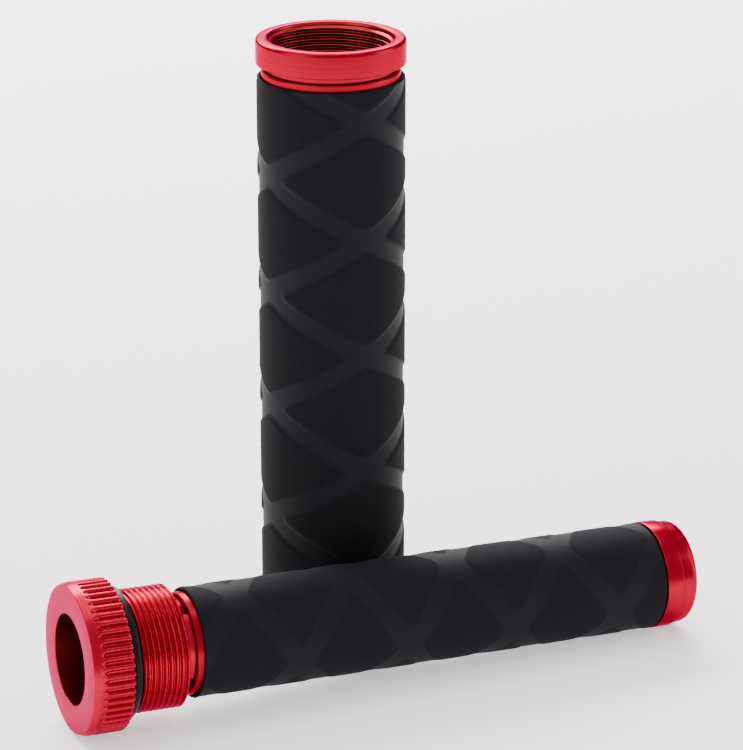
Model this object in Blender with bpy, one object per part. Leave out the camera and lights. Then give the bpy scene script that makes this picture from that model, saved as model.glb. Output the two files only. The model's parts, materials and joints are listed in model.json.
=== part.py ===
"""A nesting pair of anodised aluminium grips: a wide grip that stands on its end cap, and a slim
grip with a knurled screw head that lies beside it and fits inside its bore."""

import math

import bmesh
import bpy
from mathutils import Matrix, Vector

# Driving dimensions, in metres.
MM = 0.001
SLEEVE_RADIUS = 16.0 * MM          # wide grip, over its rubber sleeve
GRIP_HEIGHT = 135.9 * MM           # wide grip, base to the rim of its collar
SLIM_SLEEVE_RADIUS = 11.9 * MM
SLIM_LENGTH = 144.0 * MM           # slim grip, face of the head to the end of its cap
JOINT_GAP = 0.3 * MM               # left between pieces that touch
EDGE_BREAK = 0.4 * MM              # small chamfers on turned edges
SPIGOT_LENGTH = 8.0 * MM           # what the collar, the head and the caps push into a tube
SLEEVE_LIP = 0.35 * MM             # softened edge of a rubber sleeve
TUBE_RIM_SHARE = 0.3               # of the edge break, at the corner of a tube's rim
CAP_FLOOR = 1.2 * MM
CAP_ROUND = 2.3 * MM
CAP_LIP = 0.4 * MM                 # step from a cap's rounded end to its full radius
CAP_LIP_SHARE = 0.5                # where that step sits, as a share of the cap's height
CAP_WALL = 1.4 * MM                # of a cap's spigot
CAP_SEAL_SECTION = 0.5 * MM        # radius of the round section of the O-rings behind the caps

# Wide grip, by height above the floor.
CAP_RADIUS = 16.2 * MM
CAP_HEIGHT = 9.0 * MM
SLEEVE_TOP = 127.4 * MM
TUBE_TOP = 128.9 * MM
COLLAR_BOTTOM = 130.3 * MM
COLLAR_RADIUS = 16.2 * MM
COLLAR_BEVEL = 0.8 * MM
TUBE_RADIUS = 14.95 * MM
TUBE_BORE = 13.5 * MM
SOCKET_RADIUS = 14.4 * MM          # counterbores that take the collar and the cap
BORE_THREAD_MAJOR = 13.5 * MM
BORE_THREAD_MINOR = 12.8 * MM
BORE_THREAD_LENGTH = 11.4 * MM

# Slim grip, by distance from the face of its head.
HEAD_FACE_RADIUS = 15.8 * MM
HEAD_BORE = 9.7 * MM
RIB_CREST = 16.25 * MM
RIB_ROOT = 15.65 * MM
RIB_START = 1.7 * MM
RIB_COUNT = 52
HEAD_LENGTH = 9.0 * MM
SEAL_SEAT_RADIUS = 12.1 * MM
SEAL_SECTION = 0.95 * MM           # radius of the round section of the O-ring behind the head
THREAD_START = 11.5 * MM
THREAD_END = 22.1 * MM
THREAD_MAJOR = 13.2 * MM
THREAD_MINOR = 12.5 * MM
THREAD_PITCH = 1.25 * MM
SLIM_TUBE_START = 24.4 * MM
SLIM_SLEEVE_START = 26.0 * MM
SLIM_CAP_START = 135.8 * MM
SLIM_TUBE_RADIUS = 11.0 * MM
SLIM_TUBE_BORE = 9.3 * MM
SLIM_SOCKET_RADIUS = 10.45 * MM
SLIM_CAP_RADIUS = 12.0 * MM

# Where the slim grip lies.
HEAD_FACE_X = -72.4 * MM
SIDE_CLEARANCE = 1.35 * MM         # between the two sleeves

SEGMENTS = 40                      # round most axes
HEAD_SEGMENTS = RIB_COUNT          # round the head; its ribs take twice as many
ROWS_PER_PITCH = 3

ALUMINIUM_RED = (0.62, 0.012, 0.018, 1.0)
SLEEVE_BLACK = (0.012, 0.012, 0.014, 1.0)
SEAL_BLACK = (0.008, 0.008, 0.008, 1.0)


def make_material(name, color, metallic, roughness):
    """A plain surface with one colour."""
    material = bpy.data.materials.new(name)
    material.use_nodes = True
    surface = material.node_tree.nodes["Principled BSDF"]
    surface.inputs["Base Color"].default_value = color
    surface.inputs["Metallic"].default_value = metallic
    surface.inputs["Roughness"].default_value = roughness
    return material


def ring(count, radius, height):
    """One closed row of points; radius is a number or a function of the angle."""
    points = []
    for index in range(count):
        angle = 2.0 * math.pi * index / count
        reach = radius(angle) if callable(radius) else radius
        points.append((reach * math.cos(angle), reach * math.sin(angle), height))
    return points


def lathe(profile, count=SEGMENTS):
    """Turn (radius, height) pairs into rows; a radius of zero becomes a single pole."""
    return [ring(1 if radius == 0.0 else count, radius, height) for radius, height in profile]


def arc(radius, height, size, start, end, steps):
    """Points along a circular arc of a profile, its centre at (radius, height), in degrees."""
    points = []
    for index in range(steps + 1):
        angle = math.radians(start + (end - start) * index / steps)
        points.append((radius + size * math.cos(angle), height + size * math.sin(angle)))
    return points


def bridge(mesh, first, second):
    """Faces between two rows of equal count, of counts one to two, or with a pole."""
    if len(first) > len(second):
        first, second = second, first
    count = len(first)
    if count == 1:
        for index in range(len(second)):
            mesh.faces.new((first[0], second[index], second[(index + 1) % len(second)]))
        return
    for index in range(count):
        after = (index + 1) % count
        if len(second) == count:
            mesh.faces.new((first[index], first[after], second[after], second[index]))
            continue
        middle = 2 * index + 1
        last = (2 * index + 2) % len(second)
        mesh.faces.new((first[index], second[middle], second[2 * index]))
        mesh.faces.new((first[index], first[after], second[middle]))
        mesh.faces.new((first[after], second[last], second[middle]))


def add_piece(name, rows, material, parent, closed=True):
    """Build one closed solid from its rows and hang it on an axis empty."""
    mesh = bmesh.new()
    rings = [[mesh.verts.new(point) for point in row] for row in rows]
    pairs = list(zip(rings, rings[1:]))
    if closed:
        pairs.append((rings[-1], rings[0]))
    for first, second in pairs:
        bridge(mesh, first, second)
    bmesh.ops.recalc_face_normals(mesh, faces=mesh.faces)
    data = bpy.data.meshes.new(name)
    mesh.to_mesh(data)
    mesh.free()
    data.shade_smooth()
    data.set_sharp_from_angle(angle=math.radians(35.0))
    data.materials.append(material)
    piece = bpy.data.objects.new(name, data)
    bpy.context.collection.objects.link(piece)
    piece.parent = parent


def add_axis(name, matrix):
    """An empty that carries the pieces of one grip."""
    empty = bpy.data.objects.new(name, None)
    bpy.context.collection.objects.link(empty)
    empty.matrix_world = matrix
    return empty


def thread_height(height, angle, start, end, depth):
    """Height of a right-hand thread above its root, fading out at both ends."""
    phase = ((height - start) / THREAD_PITCH - angle / (2.0 * math.pi)) % 1.0
    wave = 1.0 - abs(2.0 * phase - 1.0)
    fade = min(1.0, (height - start) / THREAD_PITCH, (end - height) / THREAD_PITCH)
    return depth * wave * max(0.0, fade)


def thread_rows(start, end, root, crest, count):
    """Rows along a threaded stretch, from start to end; the crest may lie inside the root."""
    steps = round((end - start) / THREAD_PITCH * ROWS_PER_PITCH)
    rows = []
    for index in range(steps + 1):
        height = start + (end - start) * index / steps

        def radius(angle, height=height):
            return root + thread_height(height, angle, start, end, crest - root)

        rows.append(ring(count, radius, height))
    return rows


def knurl_rows():
    """Rows along the ribs of the head: crests and roots alternate round the axis."""
    def ribbed(share):
        def radius(angle):
            crest = 0.5 + 0.5 * math.cos(angle * RIB_COUNT)
            return RIB_ROOT + (RIB_CREST - RIB_ROOT) * crest * share
        return radius

    count = 2 * RIB_COUNT
    lead = 2.0 * EDGE_BREAK
    return [
        ring(count, ribbed(0.0), RIB_START),
        ring(count, ribbed(1.0), RIB_START + lead),
        ring(count, ribbed(1.0), HEAD_LENGTH - EDGE_BREAK),
        ring(count, ribbed(0.0), HEAD_LENGTH),
    ]


def o_ring_rows(radius, height, section, steps):
    """A ring of round section."""
    return lathe(arc(radius, height, section, 0.0, 360.0 - 360.0 / steps, steps - 1))


def tube_rows(outer, bore, socket, cap_end, head_end):
    """A tube along its axis, its two ends in either order: a deep counterbore for the cap and an
    O-ring, a shallow one for the collar or the head, and a rounded rim on that side."""
    way = 1.0 if head_end > cap_end else -1.0
    deep = cap_end + way * (SPIGOT_LENGTH + 2.0 * CAP_SEAL_SECTION + 3.0 * JOINT_GAP)
    shallow = head_end - way * (SPIGOT_LENGTH + JOINT_GAP)
    return lathe([
        (outer - EDGE_BREAK / 2, cap_end),
        (outer, cap_end + way * EDGE_BREAK / 2),
        (outer, head_end - way * EDGE_BREAK),
        (outer - TUBE_RIM_SHARE * EDGE_BREAK, head_end - way * TUBE_RIM_SHARE * EDGE_BREAK),
        (outer - EDGE_BREAK, head_end),
        (socket, head_end),
        (socket, shallow),
        (bore, shallow),
        (bore, deep),
        (socket, deep),
        (socket, cap_end),
    ])


def sleeve_rows(outer, inner, bottom, top):
    """A rubber sleeve with its edges slightly drawn in."""
    return lathe([
        (outer - SLEEVE_LIP, bottom),
        (outer, bottom + 2.0 * SLEEVE_LIP),
        (outer, top - 2.0 * SLEEVE_LIP),
        (outer - SLEEVE_LIP, top),
        (inner, top),
        (inner, bottom),
    ])


def cap_rows(radius, height, socket):
    """A cap with its closed end at zero and a hollow spigot."""
    spigot = socket - JOINT_GAP
    step = CAP_LIP_SHARE * height
    tip = height + SPIGOT_LENGTH
    outline = [(0.0, 0.0)]
    outline += arc(radius - CAP_LIP - CAP_ROUND, CAP_ROUND, CAP_ROUND, -90.0, 0.0, 5)
    outline += [
        (radius - CAP_LIP, step),
        (radius, step + CAP_LIP / 2),
        (radius, height - EDGE_BREAK),
        (radius - EDGE_BREAK, height),
        (spigot, height),
        (spigot, tip - EDGE_BREAK),
        (spigot - EDGE_BREAK, tip),
        (spigot - CAP_WALL, tip),
        (spigot - CAP_WALL, CAP_FLOOR),
        (0.0, CAP_FLOOR),
    ]
    return lathe(outline)


def cap_seal_rows(height, socket):
    """The O-ring that the cap's spigot presses against the bottom of its counterbore."""
    radius = socket - JOINT_GAP - CAP_SEAL_SECTION
    centre = height + SPIGOT_LENGTH + JOINT_GAP + CAP_SEAL_SECTION
    return o_ring_rows(radius, centre, CAP_SEAL_SECTION, 8)


def collar_rows():
    """The threaded collar: a flange on the rim of the tube and a spigot inside it."""
    spigot = SOCKET_RADIUS - JOINT_GAP
    foot = TUBE_TOP - SPIGOT_LENGTH
    thread_top = GRIP_HEIGHT - COLLAR_BEVEL
    outer = [
        (spigot - EDGE_BREAK / 2, foot),
        (spigot, foot + EDGE_BREAK / 2),
        (spigot, COLLAR_BOTTOM),
        (COLLAR_RADIUS - EDGE_BREAK, COLLAR_BOTTOM),
        (COLLAR_RADIUS, COLLAR_BOTTOM + EDGE_BREAK),
    ]
    outer += arc(COLLAR_RADIUS - COLLAR_BEVEL, GRIP_HEIGHT - COLLAR_BEVEL, COLLAR_BEVEL,
                 0.0, 90.0, 4)
    outer += [(BORE_THREAD_MAJOR + COLLAR_BEVEL / 2, GRIP_HEIGHT)]
    thread = thread_rows(thread_top - BORE_THREAD_LENGTH, thread_top, BORE_THREAD_MAJOR,
                         BORE_THREAD_MINOR, SEGMENTS)
    return lathe(outer) + thread[::-1] + lathe([(BORE_THREAD_MAJOR, foot)])


def head_rows():
    """The screw head: flat face, knurled flange, seal seat, thread, neck and spigot."""
    spigot = SLIM_SOCKET_RADIUS - JOINT_GAP
    end = SLIM_TUBE_START + SPIGOT_LENGTH
    step = THREAD_END - 2.0 * THREAD_PITCH
    face = [
        (HEAD_BORE + EDGE_BREAK / 2, 0.0),
        (HEAD_FACE_RADIUS, 0.0),
    ]
    back = [
        (SEAL_SEAT_RADIUS, HEAD_LENGTH),
        (SEAL_SEAT_RADIUS, THREAD_START - EDGE_BREAK),
    ]
    inside = [
        (spigot, THREAD_END),
        (spigot, end - EDGE_BREAK / 2),
        (spigot - EDGE_BREAK / 2, end),
        (SLIM_TUBE_BORE, end),
        (SLIM_TUBE_BORE, step),
        (HEAD_BORE, step - (HEAD_BORE - SLIM_TUBE_BORE)),
        (HEAD_BORE, EDGE_BREAK / 2),
    ]
    rows = lathe(face, HEAD_SEGMENTS) + knurl_rows() + lathe(back, HEAD_SEGMENTS)
    rows += thread_rows(THREAD_START, THREAD_END - EDGE_BREAK, THREAD_MINOR, THREAD_MAJOR,
                        HEAD_SEGMENTS)
    return rows + lathe(inside, HEAD_SEGMENTS)


def flip(rows, length):
    """Turn a piece end for end along its axis, keeping it a rotation and not a mirror image."""
    return [[(x, -y, length - z) for x, y, z in row] for row in rows]


def slim_grip_matrix():
    """The slim grip lies on the knurl and on its cap, so its axis dips towards the cap."""
    head_contact = HEAD_LENGTH - EDGE_BREAK
    cap_height = SLIM_LENGTH - SLIM_CAP_START
    cap_contact = SLIM_LENGTH - CAP_LIP_SHARE * cap_height - CAP_LIP / 2
    dip = math.atan((RIB_CREST - SLIM_CAP_RADIUS) / (cap_contact - head_contact))
    height = RIB_CREST * math.cos(dip) + head_contact * math.sin(dip)
    aside = -(SLEEVE_RADIUS + SLIM_SLEEVE_RADIUS + SIDE_CLEARANCE)
    turn = Matrix.Rotation(math.radians(90.0) + dip, 4, "Y")
    return Matrix.Translation(Vector((HEAD_FACE_X, aside, height))) @ turn


def build_wide_grip(red, black, seal):
    """The standing grip, from its cap up."""
    axis = add_axis("wide_grip_axis", Matrix.Identity(4))
    cap = cap_rows(CAP_RADIUS, CAP_HEIGHT, SOCKET_RADIUS)
    add_piece("wide_end_cap", cap, red, axis, closed=False)
    add_piece("wide_cap_o_ring", cap_seal_rows(CAP_HEIGHT, SOCKET_RADIUS), seal, axis)
    bottom = CAP_HEIGHT + JOINT_GAP
    tube = tube_rows(TUBE_RADIUS, TUBE_BORE, SOCKET_RADIUS, bottom, TUBE_TOP)
    add_piece("wide_core_tube", tube, red, axis)
    inner = TUBE_RADIUS + JOINT_GAP
    add_piece("wide_sleeve", sleeve_rows(SLEEVE_RADIUS, inner, bottom, SLEEVE_TOP), black, axis)
    add_piece("threaded_collar", collar_rows(), red, axis)


def build_slim_grip(red, black, seal):
    """The lying grip, from the face of its head to its cap."""
    axis = add_axis("slim_grip_axis", slim_grip_matrix())
    add_piece("knurled_head", head_rows(), red, axis)
    seat = SEAL_SEAT_RADIUS + JOINT_GAP + SEAL_SECTION
    seal_at = (HEAD_LENGTH + THREAD_START) / 2
    add_piece("head_o_ring", o_ring_rows(seat, seal_at, SEAL_SECTION, 12), seal, axis)
    tube_end = SLIM_CAP_START - JOINT_GAP
    tube = tube_rows(SLIM_TUBE_RADIUS, SLIM_TUBE_BORE, SLIM_SOCKET_RADIUS, tube_end,
                     SLIM_TUBE_START)
    add_piece("slim_core_tube", tube, red, axis)
    inner = SLIM_TUBE_RADIUS + JOINT_GAP
    sleeve = sleeve_rows(SLIM_SLEEVE_RADIUS, inner, SLIM_SLEEVE_START, tube_end)
    add_piece("slim_sleeve", sleeve, black, axis)
    cap_height = SLIM_LENGTH - SLIM_CAP_START
    cap = cap_rows(SLIM_CAP_RADIUS, cap_height, SLIM_SOCKET_RADIUS)
    add_piece("slim_end_cap", flip(cap, SLIM_LENGTH), red, axis, closed=False)
    cap_seal = cap_seal_rows(cap_height, SLIM_SOCKET_RADIUS)
    add_piece("slim_cap_o_ring", flip(cap_seal, SLIM_LENGTH), seal, axis)


for leftover in list(bpy.data.objects):
    bpy.data.objects.remove(leftover, do_unlink=True)

anodised = make_material("anodised_red", ALUMINIUM_RED, 1.0, 0.3)
sleeve_rubber = make_material("sleeve_rubber", SLEEVE_BLACK, 0.0, 0.75)
seal_rubber = make_material("seal_rubber", SEAL_BLACK, 0.0, 0.5)
build_wide_grip(anodised, sleeve_rubber, seal_rubber)
build_slim_grip(anodised, sleeve_rubber, seal_rubber)
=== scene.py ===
"""Looks of a nesting pair of anodised grips: a wide grip standing on its cap and a slim grip
with a knurled screw head lying beside it."""

import json
import math

import bmesh
import bpy
import numpy as np
from mathutils import Matrix, Vector


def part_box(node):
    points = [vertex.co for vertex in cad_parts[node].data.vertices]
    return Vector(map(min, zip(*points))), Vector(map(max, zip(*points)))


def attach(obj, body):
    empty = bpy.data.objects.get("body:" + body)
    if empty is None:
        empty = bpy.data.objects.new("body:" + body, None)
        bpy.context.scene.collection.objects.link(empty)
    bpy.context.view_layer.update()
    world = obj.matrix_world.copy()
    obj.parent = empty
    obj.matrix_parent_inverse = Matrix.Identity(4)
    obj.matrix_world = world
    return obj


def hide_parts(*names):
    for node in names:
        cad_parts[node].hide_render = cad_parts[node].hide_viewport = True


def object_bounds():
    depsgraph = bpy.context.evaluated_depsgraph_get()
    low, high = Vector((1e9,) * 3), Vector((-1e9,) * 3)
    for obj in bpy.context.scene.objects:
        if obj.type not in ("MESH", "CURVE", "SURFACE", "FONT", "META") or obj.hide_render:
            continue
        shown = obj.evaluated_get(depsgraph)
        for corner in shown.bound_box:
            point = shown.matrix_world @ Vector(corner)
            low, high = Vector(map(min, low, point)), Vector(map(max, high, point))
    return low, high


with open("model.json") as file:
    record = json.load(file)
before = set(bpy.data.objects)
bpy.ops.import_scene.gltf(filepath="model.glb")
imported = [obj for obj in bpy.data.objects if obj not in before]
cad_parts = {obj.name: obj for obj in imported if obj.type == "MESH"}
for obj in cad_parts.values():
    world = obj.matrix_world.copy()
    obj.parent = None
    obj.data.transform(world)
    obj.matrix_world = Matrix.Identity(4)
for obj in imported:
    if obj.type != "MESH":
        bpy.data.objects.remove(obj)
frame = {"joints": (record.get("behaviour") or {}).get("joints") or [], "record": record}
cad_low, cad_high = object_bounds()
MM = 0.001


# Wide end cap. Turned from aluminium bar, anodised red, and screwed into the foot of the tube
# by a hollow spigot. The grip stands on its flat end; a shallow step runs round its middle.

CORNER_STEPS = 6                    # flats in a rounded corner
CORNER_FADE = 0.6                   # how much fainter a corner's mark is at its ends
SHARP_ANGLE = math.radians(50)


def outline_rows(outline, closed):
    """Rows of (radius, height, edge) along corners given as (radius, height, rounding, spacing).
    Rounded corners become arcs marked as edges; spacing fills the stretch after its corner."""
    rows = []
    count = len(outline)
    for index, (radius, height, rounding, spacing) in enumerate(outline):
        here = Vector((radius, height))
        before = Vector(outline[index - 1][:2])
        after = Vector(outline[(index + 1) % count][:2])
        if rounding:
            start = here + (before - here).normalized() * rounding
            end = here + (after - here).normalized() * rounding
            for step in range(CORNER_STEPS + 1):
                t = step / CORNER_STEPS
                point = start * (1 - t) ** 2 + here * 2 * t * (1 - t) + end * t ** 2
                rows.append((point.x, point.y, 1 - abs(2 * t - 1) * CORNER_FADE))
        else:
            rows.append((radius, height, 0.0))
        if spacing and (closed or index + 1 < count):
            low = Vector(rows[-1][:2])
            high = after
            if outline[(index + 1) % count][2]:
                high = after + (here - after).normalized() * outline[(index + 1) % count][2]
            steps = max(1, round((high - low).length / spacing))
            for step in range(1, steps):
                point = low.lerp(high, step / steps)
                rows.append((point.x, point.y, 0.0))
    return rows


def turned_blank(name, outline, around, closed=True):
    """A turned solid about its own Z axis. 'turned' holds each point's place on the blank and
    'edge' marks the rounded corners, for the materials."""
    rows = np.array(outline_rows(outline, closed))
    turns = np.arange(around) * 2 * math.pi / around
    ring = np.stack([np.cos(turns), np.sin(turns)], axis=1)
    points, edges, starts = [], [], []
    for radius, height, edge in rows:
        starts.append((len(points), radius == 0.0))
        if radius == 0.0:
            points.append((0.0, 0.0, height))
            edges.append(edge)
            continue
        points.extend((radius * x, radius * y, height) for x, y in ring)
        edges.extend([edge] * around)
    faces = []
    pairs = list(zip(starts, starts[1:]))
    if closed:
        pairs.append((starts[-1], starts[0]))
    for (first, first_pole), (second, second_pole) in pairs:
        for index in range(around):
            after = (index + 1) % around
            if first_pole:
                faces.append((first, second + after, second + index))
            elif second_pole:
                faces.append((first + index, first + after, second))
            else:
                faces.append((first + index, first + after, second + after, second + index))
    mesh = bpy.data.meshes.new(name)
    mesh.from_pydata(points, [], faces)
    flat = np.array(points, dtype=np.float32).ravel()
    mesh.attributes.new("turned", "FLOAT_VECTOR", "POINT").data.foreach_set("vector", flat)
    mesh.attributes.new("edge", "FLOAT", "POINT").data.foreach_set("value", edges)
    blank = bpy.data.objects.new(name, mesh)
    bpy.context.collection.objects.link(blank)
    return blank


def finish_piece(piece, place, material, node):
    """Put the shape where its CAD node is, make its faces point out, and hang it on its body."""
    mesh = piece.data
    mesh.transform(place)
    shape = bmesh.new()
    shape.from_mesh(mesh)
    if shape.calc_volume(signed=True) < 0:
        bmesh.ops.reverse_faces(shape, faces=shape.faces)
        shape.to_mesh(mesh)
    shape.free()
    mesh.shade_smooth()
    mesh.set_sharp_from_angle(angle=SHARP_ANGLE)
    mesh.materials.clear()
    mesh.materials.append(material)
    for body, nodes in frame["record"]["behaviour"]["bodies"].items():
        if node in nodes:
            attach(piece, body)
    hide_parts(node)


def new_group(name, inputs, outputs):
    """A shader node group with named number, colour or vector sockets."""
    group = bpy.data.node_groups.new(name, "ShaderNodeTree")
    for label, kind in inputs:
        group.interface.new_socket(label, in_out="INPUT", socket_type=kind)
    for label, kind in outputs:
        group.interface.new_socket(label, in_out="OUTPUT", socket_type=kind)
    return group, group.nodes.new("NodeGroupInput"), group.nodes.new("NodeGroupOutput")


def maths(tree, operation, *values):
    """A Math node fed by sockets or plain numbers; returns its output."""
    node = tree.nodes.new("ShaderNodeMath")
    node.operation = operation
    for socket, value in zip(node.inputs, values):
        if isinstance(value, (int, float)):
            socket.default_value = value
        else:
            tree.links.new(value, socket)
    return node.outputs[0]


def blend_range(tree, value, low, high, start, end):
    """A smooth step of value from low to high, giving start to end."""
    node = tree.nodes.new("ShaderNodeMapRange")
    node.interpolation_type = "SMOOTHSTEP"
    tree.links.new(value, node.inputs["Value"])
    for label, number in zip(("From Min", "From Max", "To Min", "To Max"), (low, high, start, end)):
        if isinstance(number, (int, float)):
            node.inputs[label].default_value = number
        else:
            tree.links.new(number, node.inputs[label])
    return node.outputs["Result"]


def noise(tree, vector, scale, detail, roughness=0.5):
    """A three-way noise of the given scale."""
    node = tree.nodes.new("ShaderNodeTexNoise")
    node.inputs["Scale"].default_value = scale
    node.inputs["Detail"].default_value = detail
    node.inputs["Roughness"].default_value = roughness
    tree.links.new(vector, node.inputs["Vector"])
    return node.outputs["Fac"]


DYE_BAND_SHARE = 0.13               # of the tool's marks: the dye varies more slowly


def turning_marks():
    """Fine rings left by the lathe: they follow the outline along flanks and across faces."""
    group, given, made = new_group(
        "lathe marks",
        [("Place", "NodeSocketVector"), ("Spacing", "NodeSocketFloat")],
        [("Rings", "NodeSocketFloat"), ("Bands", "NodeSocketFloat"),
         ("Radius", "NodeSocketFloat")])
    parts = group.nodes.new("ShaderNodeSeparateXYZ")
    group.links.new(given.outputs["Place"], parts.inputs[0])
    across = maths(group, "MULTIPLY", parts.outputs["X"], parts.outputs["X"])
    across = maths(group, "MULTIPLY_ADD", parts.outputs["Y"], parts.outputs["Y"], across)
    across = maths(group, "SQRT", across)
    group.links.new(across, made.inputs["Radius"])
    along = maths(group, "ADD", parts.outputs["Z"], across)
    for label, share in (("Rings", 1.0), ("Bands", DYE_BAND_SHARE)):
        place = maths(group, "DIVIDE", along, given.outputs["Spacing"])
        place = maths(group, "MULTIPLY", place, share)
        texture = group.nodes.new("ShaderNodeTexNoise")
        texture.noise_dimensions = "1D"
        texture.inputs["Scale"].default_value = 1.0
        texture.inputs["Detail"].default_value = 3.0
        group.links.new(place, texture.inputs["W"])
        group.links.new(texture.outputs["Fac"], made.inputs[label])
    return group


RUB_PATCHES = 900.0                 # noise scales, per metre
SMUDGE_PATCHES = 90.0
SCUFF_GRAIN = (220.0, 220.0, 2600.0)
SCUFF_TILT = (0.5, 0.3, 0.0)


def handling_wear():
    """Where corners have been rubbed, broken up by noise, and faint smudges all over."""
    group, given, made = new_group(
        "handling wear",
        [("Place", "NodeSocketVector"), ("Edge", "NodeSocketFloat"), ("Amount", "NodeSocketFloat")],
        [("Worn", "NodeSocketFloat"), ("Smudge", "NodeSocketFloat"), ("Scuff", "NodeSocketFloat")])
    patchy = noise(group, given.outputs["Place"], RUB_PATCHES, 4.0, 0.6)
    rubbed = maths(group, "MULTIPLY", given.outputs["Edge"], patchy)
    worn = blend_range(group, rubbed, 0.42, 0.7, 0.0, 1.0)
    group.links.new(maths(group, "MULTIPLY", worn, given.outputs["Amount"]), made.inputs["Worn"])
    smudge = noise(group, given.outputs["Place"], SMUDGE_PATCHES, 3.0)
    group.links.new(smudge, made.inputs["Smudge"])
    stretch = group.nodes.new("ShaderNodeMapping")
    stretch.inputs["Scale"].default_value = SCUFF_GRAIN
    stretch.inputs["Rotation"].default_value = SCUFF_TILT
    group.links.new(given.outputs["Place"], stretch.inputs["Vector"])
    lines = noise(group, stretch.outputs["Vector"], 1.0, 2.0)
    scuff = blend_range(group, lines, 0.68, 0.78, 0.0, 1.0)
    group.links.new(scuff, made.inputs["Scuff"])
    return group


LATHE_MARKS = turning_marks()
HANDLING_WEAR = handling_wear()


def attribute(tree, name, output):
    """A named attribute of the mesh."""
    node = tree.nodes.new("ShaderNodeAttribute")
    node.attribute_name = name
    return node.outputs[output]


def place_group(tree, group, values):
    """A group in a material, with its inputs given as sockets or numbers."""
    node = tree.nodes.new("ShaderNodeGroup")
    node.node_tree = group
    for label, value in values.items():
        if isinstance(value, (int, float)):
            node.inputs[label].default_value = value
        else:
            tree.links.new(value, node.inputs[label])
    return node


def mixed(tree, factor, first, second):
    """A colour between two colours, each a socket or plain values."""
    node = tree.nodes.new("ShaderNodeMix")
    node.data_type = "RGBA"
    tree.links.new(factor, node.inputs[0])
    for socket, value in ((node.inputs[6], first), (node.inputs[7], second)):
        if isinstance(value, tuple):
            socket.default_value = value
        else:
            tree.links.new(value, socket)
    return node.outputs[2]


def bumped(tree, height, distance, strength=1.0):
    """A Bump node's normal."""
    node = tree.nodes.new("ShaderNodeBump")
    node.inputs["Strength"].default_value = strength
    node.inputs["Distance"].default_value = distance
    tree.links.new(height, node.inputs["Height"])
    return node.outputs["Normal"]


ANODISED_RED = (0.31, 0.0045, 0.0190, 1.0)
ANODISED_DEEP = (0.28, 0.0037, 0.0160, 1.0)
RUBBED_RED = (0.50, 0.05, 0.08, 1.0)
# Dull red painted into the bore as painted shade for its unlit inside.
BORE_SHADE_RED = (0.30, 0.0300, 0.0300, 1.0)
GRAZING_RED = (0.76, 0.31, 0.48, 1.0)
RING_ROUGHNESS = 0.04               # spread of roughness from ring to ring
WEAR_ROUGHNESS = 0.08               # added by a smudge or a scuff
MARK_DEPTH = 0.001 * MM
BORE_SHADE_SHARE = 0.9                    # of the painted-shade colour inside a bore


def anodised_finish(name, roughness, mark_spacing, wear, bore=0.0,
                    red=ANODISED_RED, deep=ANODISED_DEEP, sheen=GRAZING_RED):
    """Dyed anodised aluminium: bare metal under a dyed oxide skin, with the lathe's rings, a dye
    that varies a little, rubbed corners and faint smudges. Inside the bore the colour is darkened
    as painted shade."""
    material = bpy.data.materials.new(name)
    material.use_nodes = True
    tree = material.node_tree
    surface = tree.nodes["Principled BSDF"]
    place = attribute(tree, "turned", "Vector")
    edge = attribute(tree, "edge", "Fac")
    marks = place_group(tree, LATHE_MARKS, {"Place": place, "Spacing": mark_spacing})
    worn = place_group(tree, HANDLING_WEAR, {"Place": place, "Edge": edge, "Amount": wear})
    dye = blend_range(tree, marks.outputs["Bands"], 0.3, 0.7, 0.0, 1.0)
    colour = mixed(tree, dye, deep, red)
    colour = mixed(tree, worn.outputs["Worn"], colour, RUBBED_RED)
    # Painted shade: within the bore the colour is pulled towards the dull painted-shade red.
    inside = blend_range(tree, marks.outputs["Radius"], bore, bore + 0.2 * MM, BORE_SHADE_SHARE, 0.0)
    colour = mixed(tree, inside, colour, BORE_SHADE_RED)
    tree.links.new(colour, surface.inputs["Base Color"])
    rough = maths(tree, "MULTIPLY_ADD", marks.outputs["Rings"], RING_ROUGHNESS,
                  roughness - RING_ROUGHNESS / 2)
    rough = maths(tree, "MULTIPLY_ADD", worn.outputs["Smudge"], WEAR_ROUGHNESS, rough)
    rough = maths(tree, "MULTIPLY_ADD", worn.outputs["Scuff"], WEAR_ROUGHNESS, rough)
    tree.links.new(rough, surface.inputs["Roughness"])
    height = maths(tree, "MULTIPLY_ADD", worn.outputs["Scuff"], -0.6, marks.outputs["Rings"])
    tree.links.new(bumped(tree, height, MARK_DEPTH), surface.inputs["Normal"])
    surface.inputs["Metallic"].default_value = 1.0
    surface.inputs["Specular Tint"].default_value = sheen
    return material


def end_tree(tree, given, made, geometry):
    """Realize Instances and Set Material close every tree."""
    real = tree.nodes.new("GeometryNodeRealizeInstances")
    paint = tree.nodes.new("GeometryNodeSetMaterial")
    tree.links.new(geometry, real.inputs[0])
    tree.links.new(real.outputs[0], paint.inputs["Geometry"])
    tree.links.new(given.outputs["Material"], paint.inputs["Material"])
    tree.links.new(paint.outputs[0], made.inputs[0])


def cut_blank(blank, name, cuts):
    """Run a blank through geometry trees, each with its own named inputs, and keep the mesh."""
    for tree, values in cuts:
        modifier = blank.modifiers.new(tree.name, "NODES")
        modifier.node_group = tree
        for item in tree.interface.items_tree:
            if item.in_out == "INPUT" and item.name in values:
                modifier[item.identifier] = values[item.name]
    graph = bpy.context.evaluated_depsgraph_get()
    mesh = bpy.data.meshes.new_from_object(blank.evaluated_get(graph))
    blank.modifiers.clear()
    bpy.data.objects.remove(blank, do_unlink=True)
    mesh.name = name
    piece = bpy.data.objects.new(name, mesh)
    bpy.context.collection.objects.link(piece)
    return piece


THREAD_ROOT_WIDTH = 0.12            # flat at the root, as a share of half a turn
THREAD_FLANK_END = 0.9              # where the flank meets the crest, likewise
THREAD_RUN_OUT = 0.3                # of a turn, at each end
SURFACE_REACH = 0.05 * MM           # how near the stretch's radius a point must be


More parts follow.
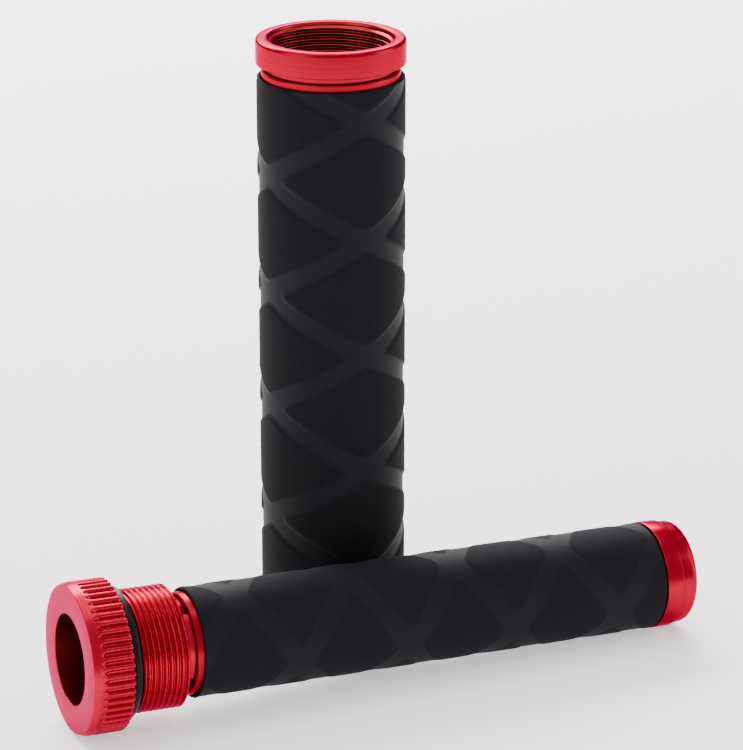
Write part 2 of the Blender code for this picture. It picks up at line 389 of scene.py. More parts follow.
def helical_thread():
    """Geometry tree that raises a right-hand thread on a turned stretch: a negative depth cuts
    inwards from the outside, and raises a thread inside a bore."""
    tree = bpy.data.node_groups.new("helical thread", "GeometryNodeTree")
    tree.is_modifier = True
    face = tree.interface
    face.new_socket("Geometry", in_out="OUTPUT", socket_type="NodeSocketGeometry")
    face.new_socket("Geometry", in_out="INPUT", socket_type="NodeSocketGeometry")
    for label in ("Pitch", "Start", "End", "Root Radius", "Depth"):
        face.new_socket(label, in_out="INPUT", socket_type="NodeSocketFloat")
    face.new_socket("Material", in_out="INPUT", socket_type="NodeSocketMaterial")
    given = tree.nodes.new("NodeGroupInput")
    made = tree.nodes.new("NodeGroupOutput")
    position = tree.nodes.new("GeometryNodeInputPosition")
    parts = tree.nodes.new("ShaderNodeSeparateXYZ")
    tree.links.new(position.outputs[0], parts.inputs[0])
    x, y, z = parts.outputs
    radius = maths(tree, "SQRT", maths(tree, "MULTIPLY_ADD", x, x, maths(tree, "MULTIPLY", y, y)))
    turn = maths(tree, "DIVIDE", maths(tree, "ARCTAN2", y, x), 2 * math.pi)
    above = maths(tree, "SUBTRACT", z, given.outputs["Start"])
    below = maths(tree, "SUBTRACT", given.outputs["End"], z)
    turns = maths(tree, "DIVIDE", above, given.outputs["Pitch"])
    phase = maths(tree, "FRACT", maths(tree, "SUBTRACT", turns, turn))
    wave = maths(tree, "PINGPONG", maths(tree, "MULTIPLY", phase, 2.0), 1.0)
    wave = blend_range(tree, wave, THREAD_ROOT_WIDTH, THREAD_FLANK_END, 0.0, 1.0)
    room = maths(tree, "DIVIDE", maths(tree, "MINIMUM", above, below), given.outputs["Pitch"])
    fade = blend_range(tree, room, 0.0, THREAD_RUN_OUT, 0.0, 1.0)
    near = maths(tree, "SUBTRACT", radius, given.outputs["Root Radius"])
    near = maths(tree, "LESS_THAN", maths(tree, "ABSOLUTE", near), SURFACE_REACH)
    reach = maths(tree, "MULTIPLY", maths(tree, "MULTIPLY", wave, fade), near)
    reach = maths(tree, "MULTIPLY", reach, given.outputs["Depth"])
    reach = maths(tree, "DIVIDE", reach, radius)
    offset = tree.nodes.new("ShaderNodeCombineXYZ")
    tree.links.new(maths(tree, "MULTIPLY", x, reach), offset.inputs[0])
    tree.links.new(maths(tree, "MULTIPLY", y, reach), offset.inputs[1])
    move = tree.nodes.new("GeometryNodeSetPosition")
    tree.links.new(given.outputs["Geometry"], move.inputs["Geometry"])
    tree.links.new(offset.outputs[0], move.inputs["Offset"])
    end_tree(tree, given, made, move.outputs[0])
    return tree


HELICAL_THREAD = helical_thread()
SPIGOT_GAP = 0.3 * MM               # between a spigot and its counterbore
SPIGOT_LENGTH = 8.0 * MM
SPIGOT_WALL = 1.4 * MM
SPIGOT_PITCH = 1.0 * MM
SPIGOT_THREAD_DEPTH = -0.35 * MM
SPIGOT_THREAD_START = 0.8 * MM      # from the shoulder
SPIGOT_LEAD = 0.4 * MM              # plain stretch at the tip
CAP_ROUND = 2.3 * MM
CAP_LIP = 0.4 * MM
CAP_FLOOR = 1.2 * MM


def cap_outline(radius, height, socket):
    """Closed end at zero, step at mid height, and a hollow spigot."""
    spigot = socket - SPIGOT_GAP
    tip = height + SPIGOT_LENGTH
    return [
        (0.0, 0.0, 0.0, 0.0),
        (radius - CAP_LIP, 0.0, CAP_ROUND, 0.0),
        (radius - CAP_LIP, 0.5 * height, 0.1 * MM, 0.0),
        (radius, 0.5 * height + CAP_LIP / 2, 0.15 * MM, 0.0),
        (radius, height, 0.35 * MM, 0.0),
        (spigot, height, 0.1 * MM, 0.11 * MM),
        (spigot, tip, 0.3 * MM, 0.0),
        (spigot - SPIGOT_WALL, tip, 0.2 * MM, 0.0),
        (spigot - SPIGOT_WALL, CAP_FLOOR, 0.3 * MM, 0.0),
        (0.0, CAP_FLOOR, 0.0, 0.0),
    ]


def threaded_cap(name, radius, height, socket, around, material):
    """A cap on its blank, with the thread cut on its spigot."""
    blank = turned_blank(name + "_blank", cap_outline(radius, height, socket), around, closed=False)
    return cut_blank(blank, name, [(HELICAL_THREAD, {
        "Pitch": SPIGOT_PITCH,
        "Start": height + SPIGOT_THREAD_START,
        "End": height + SPIGOT_LENGTH - SPIGOT_LEAD,
        "Root Radius": socket - SPIGOT_GAP,
        "Depth": SPIGOT_THREAD_DEPTH,
        "Material": material,
    })])


WIDE_PLACE = Matrix.Identity(4)
wide_cap_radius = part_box("wide_end_cap")[1].x
wide_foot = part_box("wide_core_tube")[0].z
wide_cap_height = wide_foot - SPIGOT_GAP
WIDE_SOCKET = 14.4 * MM
cap_red = anodised_finish("anodised red, cap", 0.20, 0.12 * MM, 0.4)
wide_cap = threaded_cap(
    "wide_cap_turned", wide_cap_radius, wide_cap_height, WIDE_SOCKET, 192, cap_red)
finish_piece(wide_cap, WIDE_PLACE, cap_red, "wide_end_cap")


# Cap O-ring. A moulded nitrile ring squeezed between the cap's spigot and the bottom of its
# counterbore, so the grip is closed at the foot.

SEAL_STEPS = 24                     # round a ring's section


def ring_outline(radius, centre, section, half_width):
    """A round section, squeezed to the given half width along the axis."""
    points = []
    for step in range(SEAL_STEPS):
        turn = 2 * math.pi * step / SEAL_STEPS
        points.append((radius + section * math.cos(turn), centre + half_width * math.sin(turn),
                       0.0, 0.0))
    return points


SEAL_BLACK = (0.002, 0.002, 0.002, 1.0)
SEAL_GREASED = (0.004, 0.004, 0.0045, 1.0)


def seal_finish(name):
    """Black nitrile: even and slightly waxy, with fine moulding grain and a trace of grease."""
    material = bpy.data.materials.new(name)
    material.use_nodes = True
    tree = material.node_tree
    surface = tree.nodes["Principled BSDF"]
    place = attribute(tree, "turned", "Vector")
    patches = noise(tree, place, 260.0, 4.0)
    colour = mixed(tree, patches, SEAL_BLACK, SEAL_GREASED)
    tree.links.new(colour, surface.inputs["Base Color"])
    grease = blend_range(tree, noise(tree, place, 130.0, 2.0), 0.45, 0.65, 0.36, 0.6)
    tree.links.new(grease, surface.inputs["Roughness"])
    grain = noise(tree, place, 5200.0, 3.0)
    tree.links.new(bumped(tree, grain, 0.01 * MM), surface.inputs["Normal"])
    surface.inputs["Specular IOR Level"].default_value = 0.12
    return material


CAP_SEAL_SECTION = 0.5 * MM
nitrile = seal_finish("black nitrile")
seal_low, seal_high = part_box("wide_cap_o_ring")
wide_seal = turned_blank(
    "wide_cap_seal_moulded",
    ring_outline(seal_high.x - CAP_SEAL_SECTION, (seal_low.z + seal_high.z) / 2, CAP_SEAL_SECTION,
                 CAP_SEAL_SECTION), 160)
finish_piece(wide_seal, WIDE_PLACE, nitrile, "wide_cap_o_ring")


# Wide core tube. Drawn aluminium tube, anodised red. Only its rounded upper rim shows, as a thin
# ring above the sleeve; inside, its counterbores take the cap and the collar.

def tube_outline(outer, bore, socket, cap_end, head_end):
    """Both ends of a tube along its axis, in either order."""
    way = 1.0 if head_end > cap_end else -1.0
    deep = cap_end + way * (SPIGOT_LENGTH + 2 * CAP_SEAL_SECTION + 3 * SPIGOT_GAP)
    shallow = head_end - way * (SPIGOT_LENGTH + SPIGOT_GAP)
    return [
        (outer, cap_end, 0.2 * MM, 0.0),
        (outer, head_end, 0.42 * MM, 0.0),
        (socket, head_end, 0.08 * MM, 0.0),
        (socket, shallow, 0.05 * MM, 0.0),
        (bore, shallow, 0.2 * MM, 0.0),
        (bore, deep, 0.2 * MM, 0.0),
        (socket, deep, 0.05 * MM, 0.0),
        (socket, cap_end, 0.1 * MM, 0.0),
    ]


tube_red = anodised_finish("anodised red, tube", 0.26, 0.20 * MM, 0.3)
WIDE_BORE = 13.5 * MM
tube_low, tube_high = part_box("wide_core_tube")
wide_tube = turned_blank(
    "wide_tube_turned",
    tube_outline(tube_high.x, WIDE_BORE, WIDE_SOCKET, tube_low.z, tube_high.z), 192)
finish_piece(wide_tube, WIDE_PLACE, tube_red, "wide_core_tube")


# Wide sleeve. Ribbed heat-shrink rubber, slid over the tube and shrunk on with hot air. Crossed
# helical bands are recessed and smooth; the lozenge pads between them stand proud and are matt.

CROSSING_SOFTNESS = 2.2 * MM        # rounds the pads' corners where bands cross
SKIN_DEPTH = 0.1 * MM               # tells the outer face from the inner


def band_pattern():
    """Geometry tree that sinks two right-hand and two left-hand helical bands into a sleeve."""
    tree = bpy.data.node_groups.new("crossed bands", "GeometryNodeTree")
    tree.is_modifier = True
    face = tree.interface
    face.new_socket("Geometry", in_out="OUTPUT", socket_type="NodeSocketGeometry")
    face.new_socket("Geometry", in_out="INPUT", socket_type="NodeSocketGeometry")
    for label in ("Pitch", "Right Start", "Left Start", "Band Width", "Softness", "Recess",
                  "Outer Radius"):
        face.new_socket(label, in_out="INPUT", socket_type="NodeSocketFloat")
    face.new_socket("Material", in_out="INPUT", socket_type="NodeSocketMaterial")
    given = tree.nodes.new("NodeGroupInput")
    made = tree.nodes.new("NodeGroupOutput")
    position = tree.nodes.new("GeometryNodeInputPosition")
    parts = tree.nodes.new("ShaderNodeSeparateXYZ")
    tree.links.new(position.outputs[0], parts.inputs[0])
    x, y, z = parts.outputs
    radius = maths(tree, "SQRT", maths(tree, "MULTIPLY_ADD", x, x, maths(tree, "MULTIPLY", y, y)))
    turn = maths(tree, "DIVIDE", maths(tree, "ARCTAN2", y, x), 2 * math.pi)
    climb = maths(tree, "MULTIPLY", turn, given.outputs["Pitch"])
    half = maths(tree, "DIVIDE", given.outputs["Pitch"], 4.0)
    low = maths(tree, "MULTIPLY", half, -1.0)
    rise = maths(tree, "DIVIDE", given.outputs["Pitch"], 2 * math.pi)
    slope = maths(tree, "DIVIDE", rise, given.outputs["Outer Radius"])
    lean = maths(tree, "COSINE", maths(tree, "ARCTANGENT", slope))
    away = []
    for sign, start in ((-1.0, "Right Start"), (1.0, "Left Start")):
        line = maths(tree, "MULTIPLY_ADD", climb, sign, z)
        line = maths(tree, "SUBTRACT", line, given.outputs[start])
        line = maths(tree, "WRAP", line, half, low)
        away.append(maths(tree, "MULTIPLY", maths(tree, "ABSOLUTE", line), lean))
    nearest = maths(tree, "SMOOTH_MIN", away[0], away[1], CROSSING_SOFTNESS)
    edge = maths(tree, "DIVIDE", given.outputs["Band Width"], 2.0)
    outer = maths(tree, "ADD", edge, given.outputs["Softness"])
    band = blend_range(tree, nearest, edge, outer, 1.0, 0.0)
    skin = maths(tree, "SUBTRACT", radius, given.outputs["Outer Radius"])
    skin = maths(tree, "GREATER_THAN", skin, -SKIN_DEPTH)
    band = maths(tree, "MULTIPLY", band, skin)
    sink = maths(tree, "MULTIPLY", band, given.outputs["Recess"])
    sink = maths(tree, "DIVIDE", maths(tree, "MULTIPLY", sink, -1.0), radius)
    offset = tree.nodes.new("ShaderNodeCombineXYZ")
    tree.links.new(maths(tree, "MULTIPLY", x, sink), offset.inputs[0])
    tree.links.new(maths(tree, "MULTIPLY", y, sink), offset.inputs[1])
    keep = tree.nodes.new("GeometryNodeStoreNamedAttribute")
    keep.data_type = "FLOAT"
    keep.domain = "POINT"
    keep.inputs["Name"].default_value = "band"
    tree.links.new(given.outputs["Geometry"], keep.inputs["Geometry"])
    tree.links.new(band, keep.inputs["Value"])
    move = tree.nodes.new("GeometryNodeSetPosition")
    tree.links.new(keep.outputs[0], move.inputs["Geometry"])
    tree.links.new(offset.outputs[0], move.inputs["Offset"])
    end_tree(tree, given, made, move.outputs[0])
    return tree


def rubber_grain():
    """Pebbled skin of shrunk rubber, and the dust that settles in it."""
    group, given, made = new_group(
        "rubber grain", [("Place", "NodeSocketVector"), ("Size", "NodeSocketFloat")],
        [("Grain", "NodeSocketFloat"), ("Dust", "NodeSocketFloat")])
    scaled = group.nodes.new("ShaderNodeVectorMath")
    scaled.operation = "SCALE"
    group.links.new(given.outputs["Place"], scaled.inputs[0])
    group.links.new(maths(group, "DIVIDE", 1.0, given.outputs["Size"]), scaled.inputs["Scale"])
    cells = group.nodes.new("ShaderNodeTexVoronoi")
    cells.feature = "SMOOTH_F1"
    cells.inputs["Scale"].default_value = 1.0
    cells.inputs["Smoothness"].default_value = 0.8
    group.links.new(scaled.outputs[0], cells.inputs["Vector"])
    fine = noise(group, scaled.outputs[0], 2.3, 3.0)
    grain = maths(group, "MULTIPLY_ADD", fine, 0.5, maths(group, "SUBTRACT", 1.0, cells.outputs[0]))
    group.links.new(grain, made.inputs["Grain"])
    dust = noise(group, given.outputs["Place"], 340.0, 6.0, 0.7)
    group.links.new(blend_range(group, dust, 0.55, 0.8, 0.0, 1.0), made.inputs["Dust"])
    return group


RUBBER_GRAIN = rubber_grain()
PAD_BLACK = (0.0053, 0.0052, 0.0070, 1.0)
BAND_BLACK = (0.0060, 0.0059, 0.0083, 1.0)
DUST_GREY = (0.014, 0.014, 0.015, 1.0)
PAD_ROUGHNESS = 0.80
DUST_SHARE = 0.35
GRAIN_DEPTH = 0.03 * MM


def shrunk_rubber(name, grain_size, band_roughness, pad_black, band_black):
    """Matt pads and smoother satin bands, told apart by the 'band' attribute."""
    material = bpy.data.materials.new(name)
    material.use_nodes = True
    tree = material.node_tree
    surface = tree.nodes["Principled BSDF"]
    place = attribute(tree, "turned", "Vector")
    band = attribute(tree, "band", "Fac")
    skin = place_group(tree, RUBBER_GRAIN, {"Place": place, "Size": grain_size})
    colour = mixed(tree, band, pad_black, band_black)
    dust = maths(tree, "MULTIPLY", skin.outputs["Dust"], DUST_SHARE)
    colour = mixed(tree, dust, colour, DUST_GREY)
    tree.links.new(colour, surface.inputs["Base Color"])
    rough = blend_range(tree, band, 0.0, 1.0, PAD_ROUGHNESS, band_roughness)
    rough = maths(tree, "MULTIPLY_ADD", skin.outputs["Dust"], 0.10, rough)
    tree.links.new(rough, surface.inputs["Roughness"])
    depth = blend_range(tree, band, 0.0, 1.0, 1.0, 0.25)
    height = maths(tree, "MULTIPLY", skin.outputs["Grain"], depth)
    tree.links.new(bumped(tree, height, GRAIN_DEPTH), surface.inputs["Normal"])
    surface.inputs["Specular IOR Level"].default_value = 0.08
    return material


def sleeve_outline(outer, inner, low, high):
    """A tube of rubber with soft edges, its outer face in close rows for the bands."""
    return [
        (outer, low, 0.45 * MM, 0.42 * MM),
        (outer, high, 0.45 * MM, 0.0),
        (inner, high, 0.1 * MM, 0.0),
        (inner, low, 0.1 * MM, 0.0),
    ]


def band_starts(pitch, turn, height):
    """Where the right-hand and left-hand bands start, from one crossing's angle and height."""
    climb = pitch * turn / 360
    return {"Pitch": pitch, "Right Start": height - climb, "Left Start": height + climb}


WIDE_SLEEVE_INNER = 15.25 * MM
CROSSED_BANDS = band_pattern()
wide_bands = band_starts(51.6 * MM, -84.0, 94.3 * MM)
sleeve_low, sleeve_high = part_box("wide_sleeve")
wide_rubber = shrunk_rubber(
    "shrunk rubber, wide", 0.30 * MM, 0.56, PAD_BLACK, BAND_BLACK)
wide_sleeve = turned_blank(
    "wide_sleeve_blank",
    sleeve_outline(sleeve_high.x, WIDE_SLEEVE_INNER, sleeve_low.z, sleeve_high.z), 256)
wide_sleeve = cut_blank(wide_sleeve, "wide_sleeve_banded", [(CROSSED_BANDS, {
    **wide_bands,
    "Band Width": 3.3 * MM,
    "Softness": 0.9 * MM,
    "Recess": 0.38 * MM,
    "Outer Radius": sleeve_high.x,
    "Material": wide_rubber,
})])
finish_piece(wide_sleeve, WIDE_PLACE, wide_rubber, "wide_sleeve")


# Threaded collar. Turned and anodised red, with a bevelled rim and a thread cut inside for the
# slim grip's head. Its spigot is bonded into the tube, leaving a narrow groove below the flange.

COLLAR_MAJOR = 13.5 * MM
COLLAR_FLANGE = 5.6 * MM
COLLAR_BEVEL = 0.95 * MM
COLLAR_LEAD = 0.8 * MM              # from the rim to the thread
COLLAR_THREAD = 11.4 * MM
THREAD_PITCH = 1.25 * MM
THREAD_DEPTH = 0.7 * MM
collar_low, collar_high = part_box("threaded_collar")
collar_spigot = WIDE_SOCKET - SPIGOT_GAP
collar_shoulder = collar_high.z - COLLAR_FLANGE
collar_thread_top = collar_high.z - COLLAR_LEAD
collar_thread_foot = collar_thread_top - COLLAR_THREAD
collar_red = anodised_finish(
    "anodised red, collar", 0.20, 0.10 * MM, 0.4, bore=COLLAR_MAJOR)
collar = turned_blank("collar_blank", [
    (collar_spigot, collar_low.z, 0.2 * MM, 0.0),
    (collar_spigot, collar_shoulder, 0.1 * MM, 0.0),
    (collar_high.x, collar_shoulder, 0.4 * MM, 0.0),
    (collar_high.x, collar_high.z, COLLAR_BEVEL, 0.0),
    (COLLAR_MAJOR, collar_high.z, 0.7 * MM, 0.0),
    (COLLAR_MAJOR, collar_thread_top, 0.0, 0.1 * MM),
    (COLLAR_MAJOR, collar_thread_foot, 0.0, 0.0),
    (COLLAR_MAJOR, collar_low.z, 0.1 * MM, 0.0),
], 192)
collar = cut_blank(collar, "collar_threaded", [(HELICAL_THREAD, {
    "Pitch": THREAD_PITCH,
    "Start": collar_thread_foot,
    "End": collar_thread_top,
    "Root Radius": COLLAR_MAJOR,
    "Depth": -THREAD_DEPTH,
    "Material": collar_red,
})])
finish_piece(collar, WIDE_PLACE, collar_red, "threaded_collar")


# Knurled screw head of the slim grip. One turned and anodised piece: a flat ring face round the
# bore, a flange with milled finger flutes, an O-ring seat, an outside thread, a neck and a
# spigot that goes into the slim tube.

joints = {joint["name"]: joint for joint in frame["joints"]}
face_centre = Vector(joints["head_turn"]["pos_m"])
cap_centre = Vector(joints["slim_cap_turn"]["pos_m"])
slim_way = (cap_centre - face_centre).normalized()
SLIM_LENGTH = (cap_centre - face_centre).length
dip = math.asin(-slim_way.z)
SLIM_PLACE = Matrix.Translation(face_centre) @ Matrix.Rotation(math.pi / 2 + dip, 4, "Y")


FLUTE_TIP_LEVEL = 0.9               # level of the ripple where a flute opens at its tip
FLUTE_WIDENING = 0.66               # how far that level falls as the flute reaches full width
FLUTE_FLANK = 0.72                  # of the ripple, from a flute's edge to its floor
FLANGE_SKIN = 0.9 * MM              # depth of metal that the cutter may move


def finger_flutes():
    """Geometry tree that mills straight flutes along a flange; each runs out at its front."""
    tree = bpy.data.node_groups.new("finger flutes", "GeometryNodeTree")
    tree.is_modifier = True
    face = tree.interface
    face.new_socket("Geometry", in_out="OUTPUT", socket_type="NodeSocketGeometry")
    face.new_socket("Geometry", in_out="INPUT", socket_type="NodeSocketGeometry")
    for label in ("Count", "Start", "Run Out", "End", "Crest Radius", "Depth"):
        face.new_socket(label, in_out="INPUT", socket_type="NodeSocketFloat")
    face.new_socket("Material", in_out="INPUT", socket_type="NodeSocketMaterial")
    given = tree.nodes.new("NodeGroupInput")
    made = tree.nodes.new("NodeGroupOutput")
    position = tree.nodes.new("GeometryNodeInputPosition")
    parts = tree.nodes.new("ShaderNodeSeparateXYZ")
    tree.links.new(position.outputs[0], parts.inputs[0])
    x, y, z = parts.outputs
    radius = maths(tree, "SQRT", maths(tree, "MULTIPLY_ADD", x, x, maths(tree, "MULTIPLY", y, y)))
    angle = maths(tree, "MULTIPLY", maths(tree, "ARCTAN2", y, x), given.outputs["Count"])
    valley = maths(tree, "MULTIPLY_ADD", maths(tree, "COSINE", angle), -0.5, 0.5)
    above = maths(tree, "DIVIDE", maths(tree, "SUBTRACT", z, given.outputs["Start"]),
                  given.outputs["Run Out"])
    lead = blend_range(tree, above, 0.0, 1.0, 0.0, 1.0)
    narrow = maths(tree, "MULTIPLY_ADD", lead, -FLUTE_WIDENING, FLUTE_TIP_LEVEL)
    floor = maths(tree, "ADD", narrow, FLUTE_FLANK)
    cut = blend_range(tree, valley, narrow, floor, 0.0, 1.0)
    cut = maths(tree, "MULTIPLY", cut, lead)
    before = maths(tree, "LESS_THAN", z, given.outputs["End"])
    skin = maths(tree, "SUBTRACT", radius, given.outputs["Crest Radius"])
    skin = maths(tree, "GREATER_THAN", skin, -FLANGE_SKIN)
    cut = maths(tree, "MULTIPLY", maths(tree, "MULTIPLY", cut, before), skin)
    cut = maths(tree, "MULTIPLY", cut, maths(tree, "MULTIPLY", given.outputs["Depth"], -1.0))
    cut = maths(tree, "DIVIDE", cut, radius)
    offset = tree.nodes.new("ShaderNodeCombineXYZ")
    tree.links.new(maths(tree, "MULTIPLY", x, cut), offset.inputs[0])
    tree.links.new(maths(tree, "MULTIPLY", y, cut), offset.inputs[1])
    move = tree.nodes.new("GeometryNodeSetPosition")
    tree.links.new(given.outputs["Geometry"], move.inputs["Geometry"])
    tree.links.new(offset.outputs[0], move.inputs["Offset"])
    end_tree(tree, given, made, move.outputs[0])
    return tree


FINGER_FLUTES = finger_flutes()
FLUTE_COUNT = 52
FLUTE_START = 1.5 * MM
FLUTE_RUN_OUT = 1.7 * MM
FLUTE_DEPTH = 0.9 * MM
STEPS_PER_FLUTE = 8
HEAD_FACE = 15.8 * MM
HEAD_CREST = 16.25 * MM
HEAD_BORE = 9.7 * MM
HEAD_CHAMFER = 1.4 * MM
HEAD_LENGTH = 9.0 * MM
SEAT_RADIUS = 12.1 * MM
HEAD_THREAD_START = 11.5 * MM
HEAD_THREAD_END = 22.1 * MM
HEAD_THREAD_ROOT = 12.5 * MM
SLIM_SOCKET = 10.45 * MM
SLIM_BORE = 9.3 * MM
NECK = SLIM_SOCKET - SPIGOT_GAP
BORE_STEP = 19.2 * MM               # where the head's bore narrows to the tube's
HEAD_SPIGOT = 24.6 * MM
SPIGOT_END = 32.4 * MM
# Brighter copies of the anodised red: painted light, lifting the head's flutes and thread, which
# the lamps leave too dark.
HEAD_RED = (0.40, 0.0065, 0.0270, 1.0)
HEAD_DEEP = (0.36, 0.0055, 0.0230, 1.0)
HEAD_GRAZING_RED = (0.84, 0.46, 0.60, 1.0)
head_red = anodised_finish(
    "anodised red, head", 0.24, 0.11 * MM, 0.4, bore=HEAD_BORE,
    red=HEAD_RED, deep=HEAD_DEEP, sheen=HEAD_GRAZING_RED)
head = turned_blank("head_blank", [
    (HEAD_BORE, 0.0, 0.2 * MM, 0.0),
    (HEAD_FACE, 0.0, 0.15 * MM, 0.0),
    (HEAD_CREST, HEAD_CHAMFER, 0.3 * MM, 0.3 * MM),
    (HEAD_CREST, HEAD_LENGTH, 0.4 * MM, 0.0),
    (SEAT_RADIUS, HEAD_LENGTH, 0.1 * MM, 0.0),
    (SEAT_RADIUS, HEAD_THREAD_START - 0.4 * MM, 0.0, 0.0),
    (HEAD_THREAD_ROOT, HEAD_THREAD_START, 0.0, 0.14 * MM),
    (HEAD_THREAD_ROOT, HEAD_THREAD_END, 0.0, 0.0),
    (NECK, HEAD_THREAD_END, 0.15 * MM, 0.0),
    (NECK, HEAD_SPIGOT, 0.0, 0.2 * MM),
    (NECK, SPIGOT_END, 0.2 * MM, 0.0),
    (SLIM_BORE, SPIGOT_END, 0.1 * MM, 0.0),
    (SLIM_BORE, BORE_STEP + 0.4 * MM, 0.2 * MM, 0.0),
    (HEAD_BORE, BORE_STEP, 0.2 * MM, 0.0),
], STEPS_PER_FLUTE * FLUTE_COUNT)
head = cut_blank(head, "head_knurled", [
    (FINGER_FLUTES, {
        "Count": float(FLUTE_COUNT),
        "Start": FLUTE_START,
        "Run Out": FLUTE_RUN_OUT,
        "End": HEAD_LENGTH + 0.01 * MM,
        "Crest Radius": HEAD_CREST,
        "Depth": FLUTE_DEPTH,
        "Material": head_red,
    }),
    (HELICAL_THREAD, {
        "Pitch": THREAD_PITCH,
        "Start": HEAD_THREAD_START,
        "End": HEAD_THREAD_END + THREAD_RUN_OUT * THREAD_PITCH,
        "Root Radius": HEAD_THREAD_ROOT,
        "Depth": THREAD_DEPTH,
        "Material": head_red,
    }),
    (HELICAL_THREAD, {
        "Pitch": SPIGOT_PITCH,
        "Start": HEAD_SPIGOT,
        "End": SPIGOT_END - SPIGOT_LEAD,
        "Root Radius": NECK,
        "Depth": SPIGOT_THREAD_DEPTH,
        "Material": head_red,
    }),
])
finish_piece(head, SLIM_PLACE, head_red, "knurled_head")


# Head O-ring. A moulded nitrile ring on the seat behind the flange; it seals against the rim of
# the wide grip's collar when the slim grip is screwed in.

SEAL_SECTION = 0.95 * MM
SEAL_HALF_WIDTH = 1.08 * MM
head_seal = turned_blank(
    "head_seal_moulded",
    ring_outline(SEAT_RADIUS + SPIGOT_GAP + SEAL_SECTION, (HEAD_LENGTH + HEAD_THREAD_START) / 2,
                 SEAL_SECTION, SEAL_HALF_WIDTH), 192)
finish_piece(head_seal, SLIM_PLACE, nitrile, "head_o_ring")


# Slim core tube. Drawn aluminium tube, anodised red; its rounded rim shows as a thin ring between
# the head's neck and the sleeve.

SLIM_TUBE_RADIUS = 11.0 * MM
SLIM_TUBE_START = 24.4 * MM
SLIM_CAP_START = 135.8 * MM
slim_tube_end = SLIM_CAP_START - SPIGOT_GAP
slim_tube = turned_blank(
    "slim_tube_turned",
    tube_outline(SLIM_TUBE_RADIUS, SLIM_BORE, SLIM_SOCKET, slim_tube_end, SLIM_TUBE_START), 176)
finish_piece(slim_tube, SLIM_PLACE, tube_red, "slim_core_tube")


# Slim sleeve. The same ribbed heat-shrink as on the wide grip, shrunk further, so its bands are
# shallower, rougher and closer to the pads in tone.

SLIM_RADIUS = 11.9 * MM
SLIM_SLEEVE_INNER = 11.3 * MM
SLIM_SLEEVE_START = 26.0 * MM
# Lighter copies of the wide sleeve's blacks: painted light, making up for the less light that
# reaches the slim grip.
SLIM_PAD_BLACK = (0.0068, 0.0067, 0.0092, 1.0)
SLIM_BAND_BLACK = (0.0073, 0.0072, 0.0102, 1.0)
slim_rubber = shrunk_rubber(
    "shrunk rubber, slim", 0.26 * MM, 0.62, SLIM_PAD_BLACK, SLIM_BAND_BLACK)
slim_sleeve = turned_blank(
    "slim_sleeve_blank",
    sleeve_outline(SLIM_RADIUS, SLIM_SLEEVE_INNER, SLIM_SLEEVE_START, slim_tube_end), 208)
slim_bands = band_starts(50.8 * MM, -162.5, 35.3 * MM)
slim_sleeve = cut_blank(slim_sleeve, "slim_sleeve_banded", [(CROSSED_BANDS, {
    **slim_bands,
    "Band Width": 3.4 * MM,
    "Softness": 1.1 * MM,
    "Recess": 0.17 * MM,
    "Outer Radius": SLIM_RADIUS,
    "Material": slim_rubber,
})])
finish_piece(slim_sleeve, SLIM_PLACE, slim_rubber, "slim_sleeve")


# Slim end cap and its O-ring. The cap is turned like the wide grip's, with a step at mid length
# and a well rounded end; the ring sits behind its spigot inside the tube.

END_ON = Matrix.Translation((0.0, 0.0, SLIM_LENGTH)) @ Matrix.Rotation(math.pi, 4, "X")
SLIM_CAP_RADIUS = 12.0 * MM
slim_cap_height = SLIM_LENGTH - SLIM_CAP_START
slim_cap = threaded_cap(
    "slim_cap_turned", SLIM_CAP_RADIUS, slim_cap_height, SLIM_SOCKET, 176, cap_red)
finish_piece(slim_cap, SLIM_PLACE @ END_ON, cap_red, "slim_end_cap")
slim_seal = turned_blank(
    "slim_cap_seal_moulded",
    ring_outline(SLIM_SOCKET - SPIGOT_GAP - CAP_SEAL_SECTION,
                 slim_cap_height + SPIGOT_LENGTH + SPIGOT_GAP + CAP_SEAL_SECTION,
                 CAP_SEAL_SECTION, CAP_SEAL_SECTION), 128)
finish_piece(slim_seal, SLIM_PLACE @ END_ON, nitrile, "slim_cap_o_ring")


# Floor, light and camera. A pale sweep under soft boxes, seen from a little above the grips.

FLOOR_REACH = 6.0                   # half its width, in metres
FLOOR_PALE = (0.90, 0.90, 0.90, 1.0)
FLOOR_WHITE = (0.93, 0.93, 0.93, 1.0)


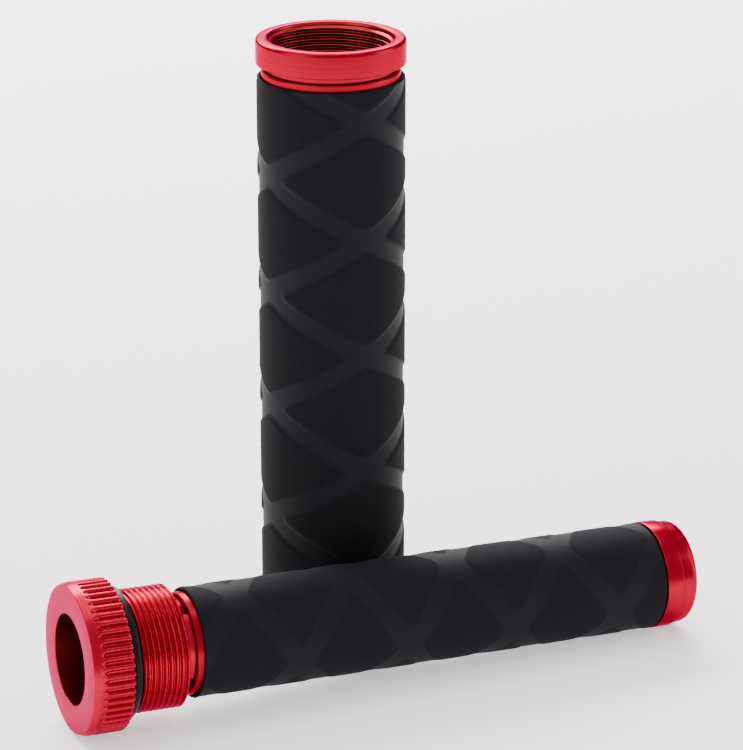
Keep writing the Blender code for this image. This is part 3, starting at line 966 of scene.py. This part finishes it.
def pale_floor():
    """A wide, even, pale surface."""
    size = FLOOR_REACH
    mesh = bpy.data.meshes.new("floor")
    corners = [(-size, -size, 0.0), (size, -size, 0.0), (size, size, 0.0), (-size, size, 0.0)]
    mesh.from_pydata(corners, [], [(0, 1, 2, 3)])
    material = bpy.data.materials.new("pale floor")
    material.use_nodes = True
    tree = material.node_tree
    surface = tree.nodes["Principled BSDF"]
    place = tree.nodes.new("ShaderNodeTexCoord").outputs["Object"]
    colour = mixed(tree, noise(tree, place, 3.0, 2.0), FLOOR_PALE, FLOOR_WHITE)
    tree.links.new(colour, surface.inputs["Base Color"])
    surface.inputs["Roughness"].default_value = 0.9
    surface.inputs["Specular IOR Level"].default_value = 0.1
    surface.inputs["Emission Color"].default_value = (1.0, 1.0, 1.0, 1.0)
    surface.inputs["Emission Strength"].default_value = 0.6
    mesh.materials.append(material)
    floor = bpy.data.objects.new("floor", mesh)
    bpy.context.collection.objects.link(floor)


def soft_box(name, place, target, width, height, power):
    """A rectangular soft light aimed at a point."""
    data = bpy.data.lights.new(name, "AREA")
    data.shape = "RECTANGLE"
    data.size = width
    data.size_y = height
    data.energy = power
    light = bpy.data.objects.new(name, data)
    light.location = place
    light.rotation_euler = (Vector(target) - Vector(place)).to_track_quat("-Z", "Y").to_euler()
    bpy.context.collection.objects.link(light)


pale_floor()
world = bpy.data.worlds.new("studio")
bpy.context.scene.world = world
world.use_nodes = True
world.node_tree.nodes["Background"].inputs["Color"].default_value = (1.0, 1.0, 1.0, 1.0)
world.node_tree.nodes["Background"].inputs["Strength"].default_value = 1.0
middle = (cad_low + cad_high) / 2
soft_box("left box", (-1.1, -0.25, 0.55), middle, 0.9, 0.9, 4.0)
soft_box("right box", (1.1, -0.45, 0.45), middle, 0.7, 0.9, 4.0)
soft_box("overhead box", (0.0, 0.25, 1.3), middle, 1.2, 1.0, 8.0)
soft_box("back wash", (0.1, 1.3, 0.9), (0.1, 0.6, 0.0), 1.6, 0.8, 70.0)

CAMERA_TARGET = Vector((7.9, -3.5, 59.5)) * MM
CAMERA_DISTANCE = 700.8 * MM
CAMERA_LENS = 152.6
CAMERA_AZIMUTH = math.radians(-23.97)
CAMERA_ELEVATION = math.radians(19.58)
back = Vector((
    math.sin(CAMERA_AZIMUTH) * math.cos(CAMERA_ELEVATION),
    -math.cos(CAMERA_AZIMUTH) * math.cos(CAMERA_ELEVATION),
    math.sin(CAMERA_ELEVATION)))
camera_data = bpy.data.cameras.new("camera")
camera_data.lens = CAMERA_LENS
camera_data.clip_start = 10 * MM
camera = bpy.data.objects.new("camera", camera_data)
camera.location = CAMERA_TARGET + back * CAMERA_DISTANCE
camera.rotation_euler = (-back).to_track_quat("-Z", "Y").to_euler()
bpy.context.collection.objects.link(camera)
bpy.context.scene.camera = camera
